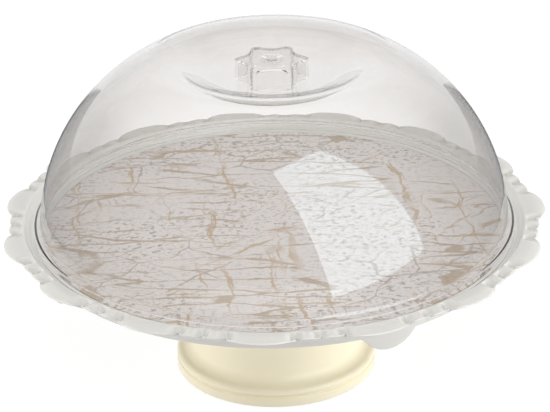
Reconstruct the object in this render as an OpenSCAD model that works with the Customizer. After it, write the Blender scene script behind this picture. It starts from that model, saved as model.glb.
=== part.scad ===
// Covered cake stand, in millimetres: a scalloped plate that pulls off its pedestal,
// under a clear lift-off dome with a fluted knob. The origin is on the table, on the axis.

/* [Pedestal] */
// Height from the table to the flat top that carries the plate
pedestal_h = 93.4; // [70:0.2:130]
// Diameter of the foot over its lower band
foot_d = 127; // [120:1:150]
// Height of the lower band of the foot
band_h = 6; // [5:0.5:9]
// Height of the rounded bead that sits on the band
bead_h = 5.6; // [4:0.2:8]
// Diameter of the drum where it rises from the foot
drum_d = 109; // [90:1:112]
// Draft of the drum, taken off its radius over the whole height
drum_draft = 1.2; // [0.5:0.1:3]
// Hollow fillet between the foot and the drum
drum_fillet = 3; // [1:0.5:4]
// Step in the radius from the drum to the neck that enters the plate
neck_step = 1.3; // [0.8:0.1:3]
// Length of the neck
neck_l = 10; // [7:0.5:16]
// Wall of the pedestal
pedestal_wall = 2.4; // [1.6:0.1:3.2]

/* [Plate] */
// Thickness of the plate's floor
floor_t = 2.6; // [2:0.1:4]
// Wall of the socket ring and of the downstand ring under the floor
ring_wall = 2.4; // [1.6:0.1:3.2]
// Depth of the downstand ring below the floor
ring_h = 5.6; // [3:0.2:9]
// How far the downstand ring is set in from the foot of the lip
ring_inset = 2.3; // [1:0.1:6]
// Clearance between the neck and its socket
socket_play = 0.3; // [0.2:0.05:0.6]
// Number of half-round feet on the downstand ring
plate_feet = 4; // [3:1:6]
// Radius of each half-round foot
plate_foot_r = 17.8; // [10:0.2:22]
// Angle of the first foot from +X
plate_foot_turn = 25; // [0:1:89]

/* [Lip] */
// Number of large lobes round the lip, each with a pair of small bumps beside it
lip_lobes = 15; // [11:1:18]
// Height of the lip's crest above the seat of the dome
lip_h = 6.4; // [5:0.2:10]
// Run of the sloping wall from the foot of the lip to its crest
lip_run = 5.6; // [4:0.2:9]
// Width of the flange from the crest to the notches
flange_w = 6.6; // [5:0.2:12]
// Thickness of the lip at its crest
lip_t = 2.2; // [1.6:0.1:3]
// Thickness of the lip at its thin edge
edge_t = 1.3; // [1:0.1:2]
// How far a lobe stands out past the notches
lobe_reach = 6.8; // [3:0.2:9]
// How far the top of a lobe is padded up
lobe_rise = 1.4; // [0.5:0.1:3]
// How far a small bump stands out past the notches
bump_reach = 1.7; // [0.8:0.1:3]
// How far the top of a small bump is padded up
bump_rise = 1; // [0.2:0.1:2]
// How far the flange dips at the notches
notch_dip = 1.2; // [0.4:0.1:1.6]
// Share of each lobe's pitch that the lobe takes, the pair of bumps taking the rest
lobe_share = 0.6; // [0.45:0.05:0.7]
// Angle of the first pair of bumps from +X
lip_turn = 15; // [0:1:24]

/* [Printed sheet] */
// Thickness of the printed sheet, which lies flush in the plate
sheet_t = 0.5; // [0.3:0.1:1]
// Clearance round the sheet in its recess
sheet_play = 0.5; // [0.2:0.1:1]

/* [Dome] */
// Diameter of the dome over its skirt
dome_d = 300; // [260:1:340]
// Clearance between the skirt and the foot of the lip
dome_play = 1.1; // [0.6:0.1:3]
// Wall of the dome
dome_wall = 2.4; // [1.8:0.1:3.2]
// Height of the stepped skirt
skirt_h = 7.3; // [5.5:0.1:12]
// How far the skirt stands out from the side of the dome
skirt_step = 3.9; // [3.2:0.1:7]
// Radius of the curved side of the dome
side_r = 121.5; // [112:0.5:130]
// Turn of the curved side, from upright, before the crown rounds over
side_turn = 64; // [56:1:70]
// Radius of the crown's rounded ridge
ridge_r = 24; // [12:1:30]
// Depth of the dish inside the ridge
dish_depth = 14; // [10:0.5:17]
// Steepest slope of the dish, from level
dish_slope = 28.5; // [27:0.5:34]

/* [Knob] */
// Diameter over the ridges of the knob
knob_d = 44.4; // [36:0.4:52]
// Flat left round the knob on the crown
knob_margin = 2; // [1:0.5:4]
// Height of the knob above its seat
knob_h = 13; // [9:0.5:18]
// Number of hollow flutes round the knob
knob_flutes = 6; // [5:1:8]
// Depth of each flute, from the circle over the ridges
flute_depth = 5; // [3:0.2:7]
// Radius of each flute
flute_r = 14; // [12:0.2:18]
// Chamfer round the top and bottom edges
knob_chamfer = 0.8; // [0.3:0.1:1.5]
// Diameter of the shallow round recess in the top
recess_d = 15; // [10:0.5:20]
// Depth of that recess
recess_h = 0.8; // [0.4:0.1:1.5]
// Wall of the knob, which is hollow and open below
knob_wall = 2; // [1.4:0.1:3]

/* [Hidden] */
$fn = 144;
// How far a cut runs past the face that it opens
overlap = 0.4;
// Largest turn of one chord of a curved section
arc_step = 5;
// Small bevel on moulded edges
edge_break = 0.8;

// Pedestal: the bead springs from the band at bead_start, measured from level
bead_start = -70;
foot_r = foot_d / 2;
drum_r = drum_d / 2;
drum_top_r = drum_r - drum_draft;
neck_r = drum_top_r - neck_step;
foot_h = band_h + bead_h;
shoulder_z = pedestal_h - neck_l;

// Plate: heights up from the pedestal, radii out from the dome. The socket stops socket_gap above
// the shoulder, and the lip is rooted heel deep in the floor
floor_z = pedestal_h + floor_t;
seat_z = floor_z + sheet_t;
skirt_r = dome_d / 2;
side_foot_r = skirt_r - skirt_step;
sheet_r = side_foot_r - dome_wall - sheet_play;
lip_foot_r = skirt_r + dome_play;
crest_r = lip_foot_r + lip_run;
crest_z = seat_z + lip_h;
notch_r = crest_r + flange_w;
ring_r = lip_foot_r - ring_inset;
ring_z = pedestal_h - ring_h;
socket_r = neck_r + socket_play;
socket_gap = 1.2;
heel = 2;

// Lip: facets over each lobe and bump, the share of their half width that a flank takes, the fall
// of the flange from its crest to its level edge, and its wall between the two
pitch = 360 / lip_lobes;
bump_share = (1 - lobe_share) / 2;
lobe_parts = 8;
bump_parts = 4;
lobe_flank = 0.5;
bump_flank = 1;
edge_drop = 0.6;
flange_t = (lip_t + edge_t) / 2;

// Dome: the side stands upright at the seat, and every curve runs on from the one before
ledge_z = seat_z + skirt_h;
knob_seat_r = knob_d / 2 + knob_margin;
side_c = [side_foot_r - side_r, seat_z];
ridge_c = side_c + (side_r - ridge_r) * [cos(side_turn), sin(side_turn)];
dish_run = ridge_c.x - knob_seat_r;
both_r = (dish_run * sin(dish_slope) - dish_depth * cos(dish_slope)) / (1 - cos(dish_slope));
dish_r = both_r - ridge_r;
crown_z = ridge_c.y + ridge_r - dish_depth;
dish_c = [knob_seat_r, crown_z + dish_r];

// Points of an arc about c, from angle a to angle b
function arc(c, r, a, b) =
    let (n = max(2, ceil(abs(b - a) / arc_step)))
    [for (i = [0:n]) c + r * [cos(a + (b - a) * i / n), sin(a + (b - a) * i / n)]];

function reversed(list) = [for (i = [len(list) - 1:-1:0]) list[i]];

// Cream pedestal: a hollow drum on a banded foot, open below, with a neck for the plate
module pedestal() {
    bead_c = [foot_r - bead_h / 2, band_h + bead_h / 2];
    fillet_c = [drum_r + drum_fillet, foot_h + drum_fillet];
    outside = concat(
        [[foot_r - edge_break, 0], [foot_r, edge_break], [foot_r, band_h - edge_break]],
        arc(bead_c, bead_h / 2, bead_start, 90),
        arc(fillet_c, drum_fillet, 270, 180),
        [[drum_top_r, shoulder_z], [neck_r, shoulder_z]],
        [[neck_r, pedestal_h - edge_break], [neck_r - edge_break, pedestal_h], [0, pedestal_h]]
    );
    inside = [
        [0, pedestal_h - pedestal_wall],
        [neck_r - pedestal_wall, pedestal_h - pedestal_wall],
        [neck_r - pedestal_wall, shoulder_z],
        [drum_top_r - pedestal_wall, shoulder_z - pedestal_wall],
        [drum_r - pedestal_wall, foot_h],
        [foot_r - pedestal_wall, foot_h - pedestal_wall],
        [foot_r - pedestal_wall, 0]
    ];
    color("#efe6c8") rotate_extrude() polygon(concat(outside, inside));
}

// Outline of a lobe or bump across its width, with t from -1 to 1
function swell(t) = pow(max(0, 1 - t * t), 0.6);

// Relief across the same width: full on top, none at the notches, with a smooth flank between
function relief(t, flank) = pow(sin(90 * min(1, (1 - abs(t)) / flank)), 2);

// Steps across one lobe or bump, closer together at its ends
function swell_steps(n) = [for (k = [0:n - 1]) -cos(180 * k / n)];

// Steps over one lobe or bump: the angle, how far the edge reaches out, how far the top is padded
function lip_steps_over(i, start, share, reach, rise, flank, parts) = [
    for (t = swell_steps(parts))
        let (full = relief(t, flank))
        [
            lip_turn + pitch * (i + start + share * (1 + t) / 2),
            reach * swell(t),
            rise * full - notch_dip * (1 - full)
        ]
];

// Section of the lip at one step: up the cove, over the crest, out to the edge and back below
function lip_section(step) =
    let (
        tip_r = notch_r + step[1],
        tip_z = crest_z - edge_drop,
        span = tip_r - crest_r,
        padding = step[2],
        round = edge_t / 2
    )
    [
        [lip_foot_r - heel, seat_z - heel / 2],
        [lip_foot_r + lip_run * 0.3, seat_z + lip_h * 0.15],
        [lip_foot_r + lip_run * 0.65, seat_z + lip_h * 0.65],
        [crest_r, crest_z],
        [crest_r + span * 0.2, crest_z - edge_drop * 0.1 + padding * 0.6],
        [crest_r + span * 0.5, crest_z - edge_drop * 0.4 + padding],
        [crest_r + span * 0.8, crest_z - edge_drop * 0.8 + padding * 0.6],
        [tip_r - round / 2, tip_z],
        [tip_r, tip_z - round],
        [tip_r - round / 2, tip_z - edge_t],
        [crest_r + span * 0.55, crest_z - edge_drop * 0.4 + padding - flange_t],
        [crest_r + lip_t / 2, crest_z - lip_t],
        [lip_foot_r + lip_run * 0.5 + lip_t, seat_z + lip_h * 0.2],
        [lip_foot_r + heel / 2, pedestal_h - heel / 4],
        [lip_foot_r - heel, pedestal_h + heel / 2]
    ];

// Scalloped lip, lofted through its sections all the way round
module lip() {
    steps = [
        for (i = [0:lip_lobes - 1]) each concat(
            lip_steps_over(i, 0, bump_share, bump_reach, bump_rise, bump_flank, bump_parts),
            lip_steps_over(i, bump_share, lobe_share, lobe_reach, lobe_rise, lobe_flank, lobe_parts),
            lip_steps_over(i, 1 - bump_share, bump_share, bump_reach, bump_rise, bump_flank, bump_parts)
        )
    ];
    sections = [for (step = steps) lip_section(step)];
    n = len(sections);
    m = len(sections[0]);
    points = [
        for (i = [0:n - 1]) for (p = sections[i])
            [p.x * cos(steps[i][0]), p.x * sin(steps[i][0]), p.y]
    ];
    faces = [
        for (i = [0:n - 1]) for (j = [0:m - 1])
            let (here = i * m, next = ((i + 1) % n) * m, k = (j + 1) % m)
            each [[here + j, next + k, here + k], [here + j, next + j, next + k]]
    ];
    polyhedron(points, faces);
}

// Downstand ring under the plate, with half-round feet below it
module foot_ring() {
    deep = ring_h + plate_foot_r;
    intersection() {
        translate([0, 0, ring_z - plate_foot_r]) difference() {
            cylinder(r = ring_r, h = deep + floor_t / 2);
            translate([0, 0, -overlap]) cylinder(r = ring_r - ring_wall, h = 2 * deep);
        }
        union() {
            translate([0, 0, ring_z]) cylinder(r = notch_r, h = deep);
            for (i = [0:plate_feet - 1])
                rotate([0, 0, plate_foot_turn + 360 * i / plate_feet])
                    translate([0, 0, pedestal_h])
                        rotate([0, 90, 0]) cylinder(r = plate_foot_r, h = notch_r);
        }
    }
}

// White plate: a flat floor with a recess for the sheet, a cove up to the scalloped lip,
// and below it a socket for the neck and a downstand ring with half-round feet
module plate() {
    socket_z = shoulder_z + socket_gap;
    floor_r = lip_foot_r + heel / 8;
    section = [
        [0, pedestal_h], [socket_r, pedestal_h], [socket_r, socket_z], [socket_r + ring_wall, socket_z],
        [socket_r + ring_wall, pedestal_h], [floor_r, pedestal_h], [floor_r, seat_z],
        [sheet_r + sheet_play, seat_z], [sheet_r + sheet_play, floor_z], [0, floor_z]
    ];
    color("#f4f1ec") union() {
        rotate_extrude() polygon(section);
        foot_ring();
        lip();
    }
}

// Printed sheet, flush in the floor of the plate
module decor_sheet() {
    color("#d8cfc9") translate([0, 0, floor_z]) cylinder(r = sheet_r, h = sheet_t);
}

// Clear dome: a stepped skirt, a curved side, a rounded ridge and a dished crown
module dome_cover() {
    side_start = asin(skirt_h / side_r);
    inner_start = asin((skirt_h - dome_wall) / (side_r - dome_wall));
    outside = concat(
        [[skirt_r, seat_z], [skirt_r - edge_break, ledge_z - edge_break]],
        [[skirt_r - 2 * edge_break, ledge_z]],
        arc(side_c, side_r, side_start, side_turn),
        arc(ridge_c, ridge_r, side_turn, 90 + dish_slope),
        arc(dish_c, dish_r, 270 + dish_slope, 270),
        [[0, crown_z]]
    );
    inside = concat(
        [[skirt_r - dome_wall, seat_z], [skirt_r - dome_wall - edge_break, ledge_z - dome_wall]],
        arc(side_c, side_r - dome_wall, inner_start, side_turn),
        arc(ridge_c, ridge_r - dome_wall, side_turn, 90 + dish_slope),
        arc(dish_c, dish_r + dome_wall, 270 + dish_slope, 270),
        [[0, crown_z - dome_wall]]
    );
    color([0.93, 0.95, 0.96, 0.35]) rotate_extrude() polygon(concat(outside, reversed(inside)));
}

// Flutes that hollow the side of the knob, deeper by the given inset where they line its inside
module flutes(inset) {
    for (i = [0:knob_flutes - 1])
        rotate([0, 0, 360 * (i + 0.5) / knob_flutes])
            translate([knob_d / 2 - flute_depth + flute_r, 0, -overlap])
                cylinder(r = flute_r + inset, h = knob_h + 2 * overlap);
}

// Clear knob: a hollow fluted cap, open below, that is welded to the crown round its rim
module knob() {
    r = knob_d / 2;
    color([0.93, 0.95, 0.97, 0.5]) translate([0, 0, crown_z]) difference() {
        rotate_extrude() polygon([
            [0, 0], [r - knob_chamfer, 0], [r, knob_chamfer], [r, knob_h - knob_chamfer],
            [r - knob_chamfer, knob_h], [0, knob_h]
        ]);
        flutes(0);
        difference() {
            translate([0, 0, -overlap]) cylinder(r = r - knob_wall, h = knob_h - knob_wall + overlap);
            flutes(knob_wall);
        }
        translate([0, 0, knob_h - recess_h]) cylinder(d = recess_d, h = recess_h + overlap);
    }
}

pedestal();
plate();
decor_sheet();
dome_cover();
knob();
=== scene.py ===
import math

import bpy
from mathutils import Matrix, Vector


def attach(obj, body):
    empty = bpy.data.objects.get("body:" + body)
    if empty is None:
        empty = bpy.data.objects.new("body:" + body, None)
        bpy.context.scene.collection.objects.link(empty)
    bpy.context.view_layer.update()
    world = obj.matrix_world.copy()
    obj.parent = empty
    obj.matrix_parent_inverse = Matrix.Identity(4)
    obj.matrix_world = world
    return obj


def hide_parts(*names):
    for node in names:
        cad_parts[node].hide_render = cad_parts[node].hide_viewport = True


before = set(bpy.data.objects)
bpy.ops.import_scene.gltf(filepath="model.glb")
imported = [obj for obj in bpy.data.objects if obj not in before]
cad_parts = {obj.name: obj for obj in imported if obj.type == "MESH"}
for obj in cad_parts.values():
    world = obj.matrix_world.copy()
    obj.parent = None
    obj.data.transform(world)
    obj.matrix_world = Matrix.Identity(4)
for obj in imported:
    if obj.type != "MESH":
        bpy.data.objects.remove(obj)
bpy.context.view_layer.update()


# Camera: the covered stand is seen from the front, from about 25 degrees above, through a
# long lens, so the round plate reads as a shallow ellipse with hardly any perspective.
eye_place = (0, -1.3878, 0.7640)
eye_tilt = math.radians(25.3)
eye_roll = math.radians(-0.91)
eye_along = Vector((0, math.cos(eye_tilt), -math.sin(eye_tilt)))
eye_up = Vector((0, math.sin(eye_tilt), math.cos(eye_tilt)))
eye_right = Vector((math.cos(eye_roll), 0, 0)) + eye_up * math.sin(eye_roll)
eye_up = eye_right.cross(eye_along)
eye_turn = Matrix((eye_right, eye_up, -eye_along)).transposed().to_4x4()
lens = bpy.data.cameras.new("camera")
lens.sensor_width = 36
lens.lens = 160.93
lens.shift_x = 0.0019
camera = bpy.data.objects.new("camera", lens)
bpy.context.scene.collection.objects.link(camera)
camera.matrix_world = Matrix.Translation(eye_place) @ eye_turn
bpy.context.scene.camera = camera


# Pedestal: a cream moulded drum on a banded foot, hollow and open below. The shoulder near
# its top carries a narrower neck, and the plate pushes down over that neck.
def arc(centre, radius, start, end, parts):
    """Points along a circle, between two angles in degrees."""
    points = []
    for i in range(parts + 1):
        a = math.radians(start + (end - start) * i / parts)
        points.append((centre[0] + radius * math.cos(a), centre[1] + radius * math.sin(a)))
    return points


def turned(name, section, steps):
    """Spins a closed section of (radius, height) points, in millimetres, about the upright axis."""
    bpy.ops.object.select_all(action="DESELECT")
    start = Vector((section[0][0], 0, section[0][1])) / 1000
    bpy.ops.mesh.primitive_plane_add(size=0.001, location=start)
    piece = bpy.context.active_object
    piece.name = name
    piece.data.name = name
    bpy.ops.object.transform_apply(location=True, rotation=True, scale=True)
    bpy.ops.object.mode_set(mode="EDIT")
    bpy.ops.mesh.select_all(action="SELECT")
    bpy.ops.mesh.merge(type="CENTER")
    for here, there in zip(section, section[1:]):
        move = ((there[0] - here[0]) / 1000, 0, (there[1] - here[1]) / 1000)
        bpy.ops.mesh.extrude_vertices_move(TRANSFORM_OT_translate={"value": move})
    bpy.ops.mesh.select_all(action="SELECT")
    bpy.ops.mesh.spin(steps=steps, angle=2 * math.pi, center=(0, 0, 0), axis=(0, 0, 1))
    bpy.ops.mesh.select_all(action="SELECT")
    bpy.ops.mesh.remove_doubles(threshold=0.000004)
    bpy.ops.mesh.normals_make_consistent(inside=False)
    bpy.ops.object.mode_set(mode="OBJECT")
    return piece


def smooth(piece, angle):
    """Shades a piece smooth, with sharp edges beyond an angle in degrees."""
    bpy.ops.object.select_all(action="DESELECT")
    piece.select_set(True)
    bpy.context.view_layer.objects.active = piece
    bpy.ops.object.shade_smooth_by_angle(angle=math.radians(angle))


foot_rim, foot_bore = 63.5, 61.1
neck_r, neck_bore, neck_top = 52.0, 49.6, 93.4
neck_ceiling, shoulder_z = 91.0, 83.4
pedestal_section = (
    [(foot_bore, 0.0), (62.9, 0.0)]
    + arc((62.9, 0.6), 0.6, -60, 0, 3)
    + [(foot_rim, 5.2), (63.3, 5.7)]
    + arc((60.7, 8.8), 2.8, -58, 80, 13)
    + arc((60.84, 18.22), 6.5, 260, 181, 12)
    + [(53.9, 50.0), (53.4, 82.6)]
    + arc((52.8, 82.8), 0.6, 10, 90, 4)
    + [(neck_r, shoulder_z), (neck_r, 92.6), (51.2, neck_top), (0.0, neck_top)]
    + [(0.0, neck_ceiling), (neck_bore, neck_ceiling), (neck_bore, shoulder_z), (50.9, 81.0)]
    + [(52.1, 11.6), (foot_bore, 9.2), (foot_bore, 0.0)]
)
pedestal = turned("pedestal_moulding", pedestal_section, steps=192)
smooth(pedestal, angle=32)


def feed(tree, socket, value):
    """Links a socket to another one, or gives it a constant."""
    if isinstance(value, bpy.types.NodeSocket):
        tree.links.new(value, socket)
    else:
        socket.default_value = value


def noise(tree, place, scale, detail):
    """Noise over the given coordinates."""
    made = tree.nodes.new("ShaderNodeTexNoise")
    tree.links.new(place, made.inputs["Vector"])
    feed(tree, made.inputs["Scale"], scale)
    made.inputs["Detail"].default_value = detail
    return made


def maths(tree, operation, *values):
    """The result of one sum. Each value is a socket or a number."""
    made = tree.nodes.new("ShaderNodeMath")
    made.operation = operation
    for socket, value in zip(made.inputs, values):
        feed(tree, socket, value)
    return made.outputs[0]


def mixed(tree, factor, first, second):
    """A mix of two colours. Each is a socket or three numbers."""
    made = tree.nodes.new("ShaderNodeMix")
    made.data_type = "RGBA"
    tree.links.new(factor, made.inputs["Factor"])
    for socket_name, colour in (("A", first), ("B", second)):
        if isinstance(colour, tuple):
            colour = (*colour, 1)
        feed(tree, made.inputs[socket_name], colour)
    return made.outputs["Result"]


def bumped(tree, height, strength, distance):
    """Normals that follow a height."""
    made = tree.nodes.new("ShaderNodeBump")
    made.inputs["Strength"].default_value = strength
    made.inputs["Distance"].default_value = distance
    tree.links.new(height, made.inputs["Height"])
    return made.outputs["Normal"]


# Skin that a mould leaves on plastic: broad faint mottling, a fine grain, and gloss that varies
# with the mottling
mould_skin = bpy.data.node_groups.new("mould_skin", "ShaderNodeTree")
for socket_name in ("Mottle Scale", "Grain Scale", "Gloss", "Gloss Spread"):
    mould_skin.interface.new_socket(socket_name, in_out="INPUT", socket_type="NodeSocketFloat")
for socket_name in ("Mottle", "Grain", "Roughness"):
    mould_skin.interface.new_socket(socket_name, in_out="OUTPUT", socket_type="NodeSocketFloat")
skin_in = mould_skin.nodes.new("NodeGroupInput")
skin_out = mould_skin.nodes.new("NodeGroupOutput")
skin_place = mould_skin.nodes.new("ShaderNodeTexCoord").outputs["Object"]
skin_mottle = noise(mould_skin, skin_place, skin_in.outputs["Mottle Scale"], 3).outputs["Fac"]
skin_grain = noise(mould_skin, skin_place, skin_in.outputs["Grain Scale"], 2).outputs["Fac"]
skin_drift = maths(mould_skin, "SUBTRACT", skin_mottle, 0.5)
skin_gloss = maths(
    mould_skin, "MULTIPLY_ADD",
    skin_drift, skin_in.outputs["Gloss Spread"], skin_in.outputs["Gloss"],
)
mould_skin.links.new(skin_mottle, skin_out.inputs["Mottle"])
mould_skin.links.new(skin_grain, skin_out.inputs["Grain"])
mould_skin.links.new(skin_gloss, skin_out.inputs["Roughness"])


def moulded_plastic(name, shade, deep_shade, mottle, grain, gloss, spread, bump):
    """Opaque plastic whose colour, gloss and grain come from the skin that its mould leaves."""
    plastic = bpy.data.materials.new(name)
    plastic.use_nodes = True
    tree = plastic.node_tree
    skin = tree.nodes.new("ShaderNodeGroup")
    skin.node_tree = mould_skin
    skin.inputs["Mottle Scale"].default_value = mottle
    skin.inputs["Grain Scale"].default_value = grain
    skin.inputs["Gloss"].default_value = gloss
    skin.inputs["Gloss Spread"].default_value = spread
    colour = mixed(tree, skin.outputs["Mottle"], deep_shade, shade)
    relief = bumped(tree, skin.outputs["Grain"], strength=bump, distance=0.0002)
    surface = tree.nodes["Principled BSDF"]
    surface.inputs["IOR"].default_value = 1.5
    tree.links.new(colour, surface.inputs["Base Color"])
    tree.links.new(skin.outputs["Roughness"], surface.inputs["Roughness"])
    tree.links.new(relief, surface.inputs["Normal"])
    return plastic


cream_plastic = moulded_plastic(
    "cream_plastic", shade=(0.96, 0.89, 0.69), deep_shade=(0.93, 0.855, 0.645),
    mottle=9, grain=900, gloss=0.36, spread=0.16, bump=0.12,
)
pedestal.data.materials.append(cream_plastic)
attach(pedestal, "stand")
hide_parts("pedestal")


# Plate: one white moulding. Its floor has a recess for the printed sheet, a cove rises to the
# scalloped lip, and below are a socket for the neck and a downstand ring with half-round feet.
floor_z, under_z, sheet_recess_r = 96.0, 93.4, 143.7
socket_in, socket_out, socket_low = 52.3, 54.7, 84.6
ring_in, ring_out, ring_low = 146.4, 148.8, 87.8
lip_top = [
    (149.8, 96.5), (151.1, 96.55), (152.1, 96.85), (153.0, 97.5), (153.8, 98.5),
    (154.4, 99.6), (155.0, 100.8), (155.6, 101.8), (156.1, 102.5), (156.7, 102.9),
    (157.4, 102.95), (158.1, 102.9), (158.8, 102.84), (159.5, 102.76), (160.2, 102.68),
    (160.9, 102.6), (161.6, 102.5), (162.2, 102.4), (162.6, 102.3),
]
lip_below = arc((162.65, 101.65), 0.65, 75, -85, 6) + [
    (161.8, 101.0), (160.9, 100.95), (160.0, 100.9), (159.1, 100.85), (158.3, 100.75),
    (157.6, 100.3), (156.9, 99.3), (156.1, 98.0), (155.3, 96.6), (154.4, 95.2),
    (153.4, 94.0), (152.2, 93.2), (150.5, 93.2),
]
plate_section = (
    [(0.0, floor_z), (60.0, floor_z), (sheet_recess_r, floor_z)]
    + [(sheet_recess_r, 96.4), (143.8, 96.5)]
    + lip_top
    + lip_below
    + [(148.9, 93.1), (ring_out, 92.6), (ring_out, 88.3), (148.3, ring_low), (146.9, ring_low)]
    + [(ring_in, 88.3), (ring_in, under_z), (socket_out, under_z), (socket_out, 85.0)]
    + [(54.3, socket_low), (52.7, socket_low), (socket_in, 85.0), (socket_in, under_z)]
    + [(0.0, under_z), (0.0, floor_z)]
)
lobes, steps_per_pitch, bump_steps = 15, 48, 10
lobe_steps = steps_per_pitch - 2 * bump_steps
lobe_pitch = 360 / lobes
plate = turned("plate_moulding", plate_section, steps=lobes * steps_per_pitch)

# The scallop is pressed into the spun lip: each pitch is a bump, a broad lobe and a bump. They
# swell out and are padded up, and the flange dips between them
pattern_turn, pattern_from = 15.0, 60.0
crest_r, notch_r, notch_dip = 156.7, 163.3, 2.6
bump_reach, bump_rise, bump_flank = 1.7, 0.8, 1.0
lobe_reach, lobe_rise, lobe_flank = 6.8, 0.7, 0.35
swell_power = 0.6
for vertex in plate.data.vertices:
    x, y, z = vertex.co * 1000
    radius = math.hypot(x, y)
    if radius < pattern_from:
        continue
    along = (math.degrees(math.atan2(y, x)) - pattern_turn) / lobe_pitch % lobes
    pitch_index = math.floor(along + 0.0001)
    step = round((along - pitch_index) * steps_per_pitch)
    if bump_steps <= step < bump_steps + lobe_steps:
        first, count = bump_steps, lobe_steps
        reach, rise, flank = lobe_reach, lobe_rise, lobe_flank
    else:
        first, count = (0 if step < bump_steps else bump_steps + lobe_steps), bump_steps
        reach, rise, flank = bump_reach, bump_rise, bump_flank
    across = -math.cos(math.pi * (step - first) / count)
    swell = max(0.0, 1 - across * across) ** swell_power
    full = math.sin(math.pi / 2 * min(1.0, (1 - abs(across)) / flank)) ** 2
    place = pitch_index + (first + count * (1 + across) / 2) / steps_per_pitch
    angle = math.radians(pattern_turn + lobe_pitch * place)
    out = (radius - crest_r) / (notch_r - crest_r)
    if out > 0:
        radius = crest_r + out * (notch_r - crest_r + reach * swell)
        z += (rise * full - notch_dip * (1 - full)) * math.sin(math.pi * min(out, 1.0))
    vertex.co = (radius * math.cos(angle) / 1000, radius * math.sin(angle) / 1000, z / 1000)

# Half-round feet: the lower edge of the downstand ring dips along a circle at four places
foot_pitch, foot_turn, foot_r, foot_z = 90.0, 26.4, 20.0, 98.0
for vertex in plate.data.vertices:
    x, y, z = vertex.co * 1000
    radius = math.hypot(x, y)
    if ring_in - 0.1 < radius < ring_out + 0.05 and z < ring_low + 0.6:
        side = math.degrees(math.atan2(y, x)) - foot_turn
        side = (side + foot_pitch / 2) % foot_pitch - foot_pitch / 2
        off = radius * math.sin(math.radians(side))
        if abs(off) < foot_r:
            low = foot_z - math.sqrt(foot_r * foot_r - off * off)
            vertex.co.z = min(z, low + (z - ring_low)) / 1000
smooth(plate, angle=38)

white_plastic = moulded_plastic(
    "white_plastic", shade=(0.69, 0.675, 0.64), deep_shade=(0.655, 0.64, 0.605),
    mottle=12, grain=1100, gloss=0.17, spread=0.08, bump=0.06,
)
plate.data.materials.append(white_plastic)
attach(plate, "tray")
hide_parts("plate")


# Printed sheet: a thin film laid in the recess of the plate. It is printed with a plain
# crackle of fine grey flecks and tan veins on a pale pinkish grey.
decor_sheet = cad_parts["decor_sheet"]
printed_film = bpy.data.materials.new("printed_film")
printed_film.use_nodes = True
film = printed_film.node_tree
film_place = film.nodes.new("ShaderNodeTexCoord").outputs["Object"]


def ranged(tree, value, low, high, to_low=0.0, to_high=1.0, curve="SMOOTHSTEP"):
    """Maps a value from low..high to a clamped 0..1 or another range."""
    made = tree.nodes.new("ShaderNodeMapRange")
    made.interpolation_type = curve
    made.inputs["From Min"].default_value = low
    made.inputs["From Max"].default_value = high
    made.inputs["To Min"].default_value = to_low
    made.inputs["To Max"].default_value = to_high
    tree.links.new(value, made.inputs["Value"])
    return made.outputs["Result"]


def film_turned(turn, stretch=(1, 1, 1), place=film_place):
    """Coordinates of the sheet, turned by an angle in radians and then stretched."""
    mapping = film.nodes.new("ShaderNodeMapping")
    mapping.vector_type = "TEXTURE"
    mapping.inputs["Scale"].default_value = [1 / size for size in stretch]
    mapping.inputs["Rotation"].default_value = (0, 0, turn)
    film.links.new(place, mapping.inputs["Vector"])
    return mapping.outputs["Vector"]


def film_noise(scale, detail, place=film_place, ragged=0.5):
    """Noise over the sheet."""
    made = noise(film, place, scale, detail)
    made.inputs["Roughness"].default_value = ragged
    return made.outputs["Fac"]


def film_bent(wobble):
    """Coordinates of the sheet, bent by noise, so that what is drawn on them wavers."""
    shift = film.nodes.new("ShaderNodeVectorMath")
    shift.operation = "MULTIPLY_ADD"
    shift.inputs[1].default_value = (wobble, wobble, 0)
    film.links.new(noise(film, film_place, 30, 5).outputs["Color"], shift.inputs[0])
    film.links.new(film_place, shift.inputs[2])
    return shift.outputs["Vector"]


def film_cracks(stretch, turn, wobble, width):
    """Thin wavering cracks: the edges of stretched cells, with a width that varies along them."""
    cells = film.nodes.new("ShaderNodeTexVoronoi")
    cells.feature = "DISTANCE_TO_EDGE"
    cells.voronoi_dimensions = "2D"
    cells.inputs["Scale"].default_value = 1
    film.links.new(film_turned(turn, stretch, film_bent(wobble)), cells.inputs["Vector"])
    crack_width_or_edge_shade = ranged(film, film_noise(45, 4), 0.36, 0.66, to_low=width * 0.3, to_high=width)
    away = maths(film, "DIVIDE", cells.outputs["Distance"], crack_width_or_edge_shade)
    return ranged(film, away, 0.55, 1.0, to_low=1.0, to_high=0.0)


def film_strokes(stretch, turn, wobble, level):
    """Ragged strokes along one direction, where stretched noise rises above a level."""
    drawn = film_noise(1, 8, film_turned(turn, stretch, film_bent(wobble)), ragged=0.70)
    return ranged(film, drawn, level, level + 0.025)


ground_mottle = film_noise(7, 4)
ground = mixed(film, ground_mottle, (0.685, 0.635, 0.61), (0.81, 0.765, 0.74))

# Flecks and dashes thicken and thin out over the sheet
fleck_drift = ranged(film, film_noise(11, 3), 0.38, 0.56, to_low=0.3)
flecks = ranged(film, film_noise(1, 2, film_turned(-0.1, (390, 450, 1))), 0.57, 0.62)
flecks = maths(film, "MULTIPLY", flecks, fleck_drift)
dashes = ranged(film, film_noise(1, 3, film_turned(0.05, (230, 330, 1))), 0.575, 0.61)
dashes = maths(film, "MULTIPLY", dashes, fleck_drift)

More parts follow.
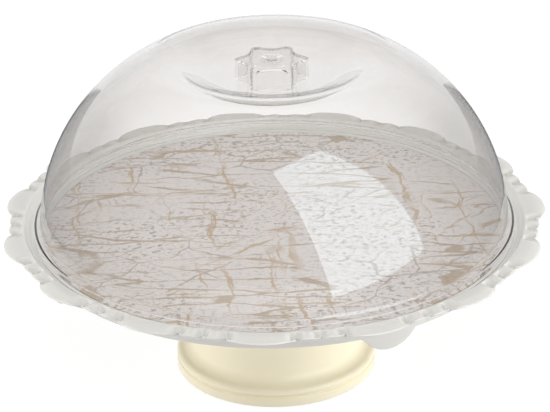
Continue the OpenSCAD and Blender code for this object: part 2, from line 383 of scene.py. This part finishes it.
# Cracks and strokes break off, where a broad noise leaves them out
short_cracks = film_cracks((24, 34, 1), turn=0.4, wobble=0.022, width=0.040)
short_kept = ranged(film, film_noise(13, 4, film_turned(0.5)), 0.45, 0.53)
short_cracks = maths(film, "MULTIPLY", short_cracks, short_kept)
long_cracks = film_cracks((9, 74, 1), turn=0.02, wobble=0.014, width=0.08)
long_kept = ranged(film, film_noise(17, 4), 0.42, 0.52)
long_cracks = maths(film, "MULTIPLY", long_cracks, long_kept)
steep_strokes = film_strokes((85, 6, 1), turn=0.12, wobble=0.02, level=0.585)
slant_strokes = film_strokes((120, 13, 1), turn=-0.75, wobble=0.02, level=0.605)
level_strokes = film_strokes((8, 130, 1), turn=0.03, wobble=0.012, level=0.585)
strokes = maths(film, "MAXIMUM", steep_strokes, slant_strokes)
strokes = maths(film, "MAXIMUM", strokes, level_strokes)
strokes_kept = ranged(film, film_noise(10, 3, film_turned(1.0)), 0.42, 0.52, to_low=0.1)
strokes = maths(film, "MULTIPLY", strokes, strokes_kept)

print_colour = ground
for ink, mask, cover in (
    ((0.36, 0.33, 0.31), flecks, 0.5),
    ((0.36, 0.315, 0.285), dashes, 0.75),
    ((0.40, 0.33, 0.27), short_cracks, 0.7),
    ((0.44, 0.34, 0.235), long_cracks, 0.8),
    ((0.51, 0.375, 0.235), strokes, 0.85),
):
    print_colour = mixed(film, maths(film, "MULTIPLY", mask, cover), print_colour, ink)
film_gloss = ranged(film, ground_mottle, 0.3, 0.7, to_low=0.42, to_high=0.56)
film_relief = bumped(film, film_noise(600, 2), strength=0.1, distance=0.0002)
film_surface = film.nodes["Principled BSDF"]
film_surface.inputs["IOR"].default_value = 1.5
film.links.new(print_colour, film_surface.inputs["Base Color"])
film.links.new(film_gloss, film_surface.inputs["Roughness"])
film.links.new(film_relief, film_surface.inputs["Normal"])
decor_sheet.data.materials.clear()
decor_sheet.data.materials.append(printed_film)


# Dome cover: one clear moulding with a stepped skirt that stands inside the lip, a round side,
# a rolled ridge and a dished crown that carries the knob. It simply lifts off.
wall, skirt_foot = 2.4, 96.6
ledge_centre, ledge_radius = (147.9, 106.0), 2.2
side_centre, side_radius = (24.6, 96.5), 121.5
ridge_centre, ridge_radius = (67.34, 184.13), 24.0
knob_seat, dish_depth, dish_slope = 24.2, 14.0, 28.5
slope_sin, slope_cos = math.sin(math.radians(dish_slope)), math.cos(math.radians(dish_slope))
dish_run = ridge_centre[0] - knob_seat
dish_radius = (dish_run * slope_sin - dish_depth * slope_cos) / (1 - slope_cos) - ridge_radius
crown_z = ridge_centre[1] + ridge_radius - dish_depth
dish_centre = (knob_seat, crown_z + dish_radius)
dome_outside = (
    [(149.9, skirt_foot), (150.0, 96.8), (149.6, 101.6)]
    + arc((148.4, 101.9), 1.2, 3, 60, 7)
    + arc(ledge_centre, ledge_radius, 240, 184, 9)
    + arc(side_centre, side_radius, 4.6, 64, 40)
    + arc(ridge_centre, ridge_radius, 67, 90 + dish_slope, 26)
    + arc(dish_centre, dish_radius, 270 + dish_slope, 270, 14)
    + [(12.0, crown_z), (0.0, crown_z)]
)
dome_inside = (
    [(0.0, crown_z - wall), (12.0, crown_z - wall)]
    + arc(dish_centre, dish_radius + wall, 270, 270 + dish_slope, 14)
    + arc(ridge_centre, ridge_radius - wall, 90 + dish_slope, 67, 26)
    + arc(side_centre, side_radius - wall, 64, 4.6, 40)
    + arc(ledge_centre, ledge_radius + wall, 184, 240, 8)
    + [(147.2, 101.0), (147.4, 97.1), (147.6, skirt_foot), (149.9, skirt_foot)]
)
dome = turned("dome_moulding", dome_outside + dome_inside, steps=240)
smooth(dome, angle=32)


def mixed_shader(tree, factor, first, second):
    """A mix of two shaders."""
    made = tree.nodes.new("ShaderNodeMixShader")
    tree.links.new(factor, made.inputs[0])
    tree.links.new(first, made.inputs[1])
    tree.links.new(second, made.inputs[2])
    return made.outputs[0]


# Clear plastic: polished, with a faint unevenness of the moulded wall and a trace of haze. A darker
# edge colour is painted shade. It darkens the side of the dome where it is seen at a slant, above
# the skirt and less toward the crown, in place of the dim surroundings that the slanted wall
# mirrors
def clear_plastic(name, tint, deep_tint, painted_edge_shade, bend, gloss, wave_scale, wave):
    """Clear plastic that lets the lamps' light through to what is under it."""
    clear = bpy.data.materials.new(name)
    clear.use_nodes = True
    tree = clear.node_tree
    place = tree.nodes.new("ShaderNodeTexCoord").outputs["Object"]
    waves = noise(tree, place, wave_scale, 1).outputs["Fac"]
    haze = noise(tree, place, 30, 4).outputs["Fac"]
    axes = tree.nodes.new("ShaderNodeSeparateXYZ")
    tree.links.new(place, axes.inputs[0])
    # Painted edge shade: this mask grows where the wall is seen at a slant, above the skirt and
    # less toward the crown
    facing = tree.nodes.new("ShaderNodeLayerWeight")
    facing.inputs["Blend"].default_value = 0.5
    slant = ranged(tree, facing.outputs["Facing"], 0.05, 0.9)
    over_skirt = ranged(tree, axes.outputs["Z"], 0.102, 0.114)
    to_crown = ranged(tree, axes.outputs["Z"], 0.190, 0.208, to_low=1.0, to_high=0.5)
    side = maths(tree, "MULTIPLY", over_skirt, to_crown)
    crack_width_or_edge_shade = maths(tree, "MULTIPLY", slant, side)
    shade = mixed(tree, waves, deep_tint, tint)
    tint_with_painted_edge_shade = mixed(tree, crack_width_or_edge_shade, shade, painted_edge_shade)
    polish = ranged(tree, haze, 0.45, 0.8, to_high=gloss, curve="LINEAR")
    relief = bumped(tree, waves, strength=wave, distance=0.001)
    surface = tree.nodes["Principled BSDF"]
    surface.inputs["Transmission Weight"].default_value = 1
    surface.inputs["IOR"].default_value = bend
    tree.links.new(tint_with_painted_edge_shade, surface.inputs["Base Color"])
    tree.links.new(polish, surface.inputs["Roughness"])
    tree.links.new(relief, surface.inputs["Normal"])
    rays = tree.nodes.new("ShaderNodeLightPath")
    open_to_light = tree.nodes.new("ShaderNodeBsdfTransparent")
    open_to_light.inputs["Color"].default_value = (0.985, 0.985, 0.985, 1)
    let_through = open_to_light.outputs["BSDF"]
    for_bounced = mixed_shader(
        tree, rays.outputs["Is Diffuse Ray"], surface.outputs["BSDF"], let_through
    )
    for_lamps = mixed_shader(tree, rays.outputs["Is Shadow Ray"], for_bounced, let_through)
    tree.links.new(for_lamps, tree.nodes["Material Output"].inputs["Surface"])
    return clear


# The dark edge colour of the dome is painted shade on its slanted side
dome_plastic = clear_plastic(
    "clear_plastic", tint=(0.955, 0.945, 0.938), deep_tint=(0.935, 0.925, 0.918),
    painted_edge_shade=(0.62, 0.605, 0.595), bend=1.49, gloss=0.02, wave_scale=14, wave=0.04,
)
dome.data.materials.append(dome_plastic)
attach(dome, "cover")
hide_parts("dome_cover")


# Knob: a clear hollow cap with six hollow flutes, open below and welded to the crown round its
# rim. It stands in the dish, just below the ridge, with a small moulded rosette in its top.
knob_r, knob_bore, knob_h = 22.2, 20.2, 13.0
knob_foot = crown_z + 0.04
knob_top = knob_foot + knob_h
rosette_z, flat_r = knob_top - 0.8, 20.8
knob_section = (
    [(1.5 * i, rosette_z) for i in range(5)]
    + [(7.0, rosette_z), (7.4, knob_top - 0.5), (7.7, knob_top)]
    + [(14.0, knob_top), (flat_r, knob_top)]
    + arc((knob_r - 1.0, knob_top - 1.0), 1.0, 85, 0, 6)
    + [(knob_r, knob_foot + 6.0), (knob_r, knob_foot + 0.6)]
    + arc((knob_r - 0.5, knob_foot + 0.5), 0.5, 0, -90, 3)
    + [(20.5, knob_foot), (knob_bore, knob_foot + 0.3), (knob_bore, knob_top - 3.0)]
    + arc((knob_bore - 1.0, knob_top - 3.0), 1.0, 10, 88, 5)
    + [(14.0, knob_top - 2.0), (8.0, knob_top - 2.2), (0.0, knob_top - 2.2), (0.0, rosette_z)]
)
knob = turned("knob_moulding", knob_section, steps=240)

# The flutes are pressed into the spun cap, with rounded ridges between them, and the rosette has
# eight petals
flute_pitch, flute_from, flute_r, flute_at, ridge_round = 60, 8.0, 14.0, 31.2, 2.4
rosette_r, rosette_depth = 6.5, 1.0
for vertex in knob.data.vertices:
    x, y, z = vertex.co * 1000
    radius = math.hypot(x, y)
    angle = math.atan2(y, x)
    if radius > flute_from + 0.1:
        off = math.radians(math.degrees(angle) % flute_pitch - flute_pitch / 2)
        reach = flute_r ** 2 - (flute_at * math.sin(off)) ** 2
        hollow = flute_at * math.cos(off) - math.sqrt(max(0.0, reach))
        near = max(0.0, 1 - abs(knob_r - hollow) / ridge_round)
        rim = min(knob_r, hollow) - near * near * ridge_round / 4
        radius -= (knob_r - rim) * min(1.0, (radius - flute_from) / (flat_r - flute_from))
        vertex.co.x = radius * math.cos(angle) / 1000
        vertex.co.y = radius * math.sin(angle) / 1000
    elif radius < rosette_r and z > knob_top - 1.0:
        petal = abs(math.cos(4 * angle)) * (0.3 + 0.7 * math.sin(radius * 1.4) ** 2)
        vertex.co.z -= rosette_depth * petal / 1000
smooth(knob, angle=24)
# The knob's clear plastic carries the same painted edge shade, paler than the dome's
knob_plastic = clear_plastic(
    "clear_knob", tint=(0.955, 0.948, 0.942), deep_tint=(0.93, 0.923, 0.917),
    painted_edge_shade=(0.84, 0.83, 0.82), bend=1.14, gloss=0.02, wave_scale=60, wave=0.03,
)
knob.data.materials.append(knob_plastic)
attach(knob, "cover")
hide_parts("knob")


# Studio: a pale table that is seen as a white background, a tall cool panel at the front right,
# which the dome mirrors, a soft key above the front, low fills at both sides, and even light from
# all round.
bpy.ops.object.select_all(action="DESELECT")
bpy.ops.mesh.primitive_plane_add(size=60, location=(0, 0, -0.0004))
table = bpy.context.active_object
table.name = "table_top"
bpy.ops.object.transform_apply(location=True, rotation=True, scale=True)
table_white = bpy.data.materials.new("table_white")
table_white.use_nodes = True
table_tree = table_white.node_tree
table_surface = table_tree.nodes["Principled BSDF"]
table_surface.inputs["Base Color"].default_value = (0.65, 0.65, 0.65, 1)
table_surface.inputs["Roughness"].default_value = 0.9
table_surface.inputs["Specular IOR Level"].default_value = 0.0

# What the dome mirrors of the table: bright near the stand and behind it, dim further out
table_place = table_tree.nodes.new("ShaderNodeTexCoord").outputs["Object"]
table_axes = table_tree.nodes.new("ShaderNodeSeparateXYZ")
table_tree.links.new(table_place, table_axes.inputs[0])
table_side = maths(table_tree, "ABSOLUTE", table_axes.outputs["X"])
table_near = maths(table_tree, "MINIMUM", table_axes.outputs["Y"], 0.25)
table_aside = maths(table_tree, "MULTIPLY_ADD", table_near, 0.4, table_side)
table_sweep = ranged(table_tree, table_aside, 0.16, 0.24, to_low=1.0, to_high=0.12)
table_beyond = maths(table_tree, "MULTIPLY_ADD", table_side, -2.3, table_axes.outputs["Y"])
table_far = ranged(table_tree, table_beyond, 0.0, 0.15)
table_bright = maths(table_tree, "MAXIMUM", table_sweep, table_far)
table_mirrored = table_tree.nodes.new("ShaderNodeEmission")
table_tree.links.new(table_bright, table_mirrored.inputs["Strength"])

# Seen directly or through the dome, the table is white and still takes the stand's shadow
table_glow = table_tree.nodes.new("ShaderNodeEmission")
table_glow.inputs["Strength"].default_value = 1.16
table_rays = table_tree.nodes.new("ShaderNodeLightPath").outputs
table_seen = maths(
    table_tree, "MAXIMUM", table_rays["Is Camera Ray"], table_rays["Is Transmission Ray"]
)
table_share = maths(table_tree, "MULTIPLY", table_seen, 0.8)
table_gloss = mixed_shader(
    table_tree, table_rays["Is Glossy Ray"],
    table_surface.outputs["BSDF"], table_mirrored.outputs["Emission"],
)
table_mix = mixed_shader(table_tree, table_share, table_gloss, table_glow.outputs["Emission"])
table_tree.links.new(table_mix, table_tree.nodes["Material Output"].inputs["Surface"])
table.data.materials.append(table_white)


def soft_lamp(name, width, height, energy, place, turn):
    """A rectangular lamp of soft light."""
    light = bpy.data.lights.new(name, "AREA")
    light.shape = "RECTANGLE"
    light.size = width
    light.size_y = height
    light.energy = energy
    lamp = bpy.data.objects.new(name, light)
    bpy.context.scene.collection.objects.link(lamp)
    lamp.location = place
    lamp.rotation_euler = turn
    return lamp


panel_turn = (math.radians(84.0), math.radians(-10.4), math.radians(37.2))
tall_panel = soft_lamp("tall_panel", 0.61, 1.42, 8.2, (0.382, -0.495, 0.767), panel_turn)
tall_panel.data.color = (0.76, 0.92, 1.0)
tall_panel.visible_diffuse = False
for name, width, height, energy, place, backwards in (
    ("front_key", 0.7, 0.7, 5.7, (0.0, -0.45, 1.05), (0.0, -0.45, 1.0)),
    ("left_fill", 1.0, 0.3, 9.1, (-1.25, -0.36, 0.18), (-1.25, -0.36, 0.1)),
    ("right_fill", 1.0, 0.3, 12.1, (1.25, -0.36, 0.18), (1.25, -0.36, 0.1)),
):
    lamp_turn = Vector(backwards).to_track_quat("Z", "Y").to_euler()
    lamp = soft_lamp(name, width, height, energy, place, lamp_turn)
    lamp.visible_glossy = False
    lamp.visible_transmission = False

# Even light, white where it is seen directly or through the dome. The dome mirrors it bright only
# from behind the stand
studio = bpy.data.worlds.new("studio")
bpy.context.scene.world = studio
studio.use_nodes = True
studio_tree = studio.node_tree
studio_fill = studio_tree.nodes["Background"]
studio_fill.inputs["Color"].default_value = (1, 1, 1, 1)
studio_fill.inputs["Strength"].default_value = 0.50
studio_white = studio_tree.nodes.new("ShaderNodeBackground")
studio_white.inputs["Color"].default_value = (1, 1, 1, 1)
studio_place = studio_tree.nodes.new("ShaderNodeTexCoord").outputs["Generated"]
studio_axes = studio_tree.nodes.new("ShaderNodeSeparateXYZ")
studio_tree.links.new(studio_place, studio_axes.inputs[0])
studio_behind = ranged(studio_tree, studio_axes.outputs["Y"], 0.55, 0.85, to_low=0.12)
studio_mirrored = studio_tree.nodes.new("ShaderNodeBackground")
studio_mirrored.inputs["Color"].default_value = (1, 1, 1, 1)
studio_tree.links.new(studio_behind, studio_mirrored.inputs["Strength"])
studio_rays = studio_tree.nodes.new("ShaderNodeLightPath").outputs
studio_seen = maths(
    studio_tree, "MAXIMUM", studio_rays["Is Camera Ray"], studio_rays["Is Transmission Ray"]
)
studio_gloss = mixed_shader(
    studio_tree, studio_rays["Is Glossy Ray"], studio_fill.outputs[0], studio_mirrored.outputs[0]
)
studio_mix = mixed_shader(studio_tree, studio_seen, studio_gloss, studio_white.outputs[0])
studio_tree.links.new(studio_mix, studio_tree.nodes["World Output"].inputs["Surface"])
bpy.context.scene.view_settings.view_transform = "Standard"
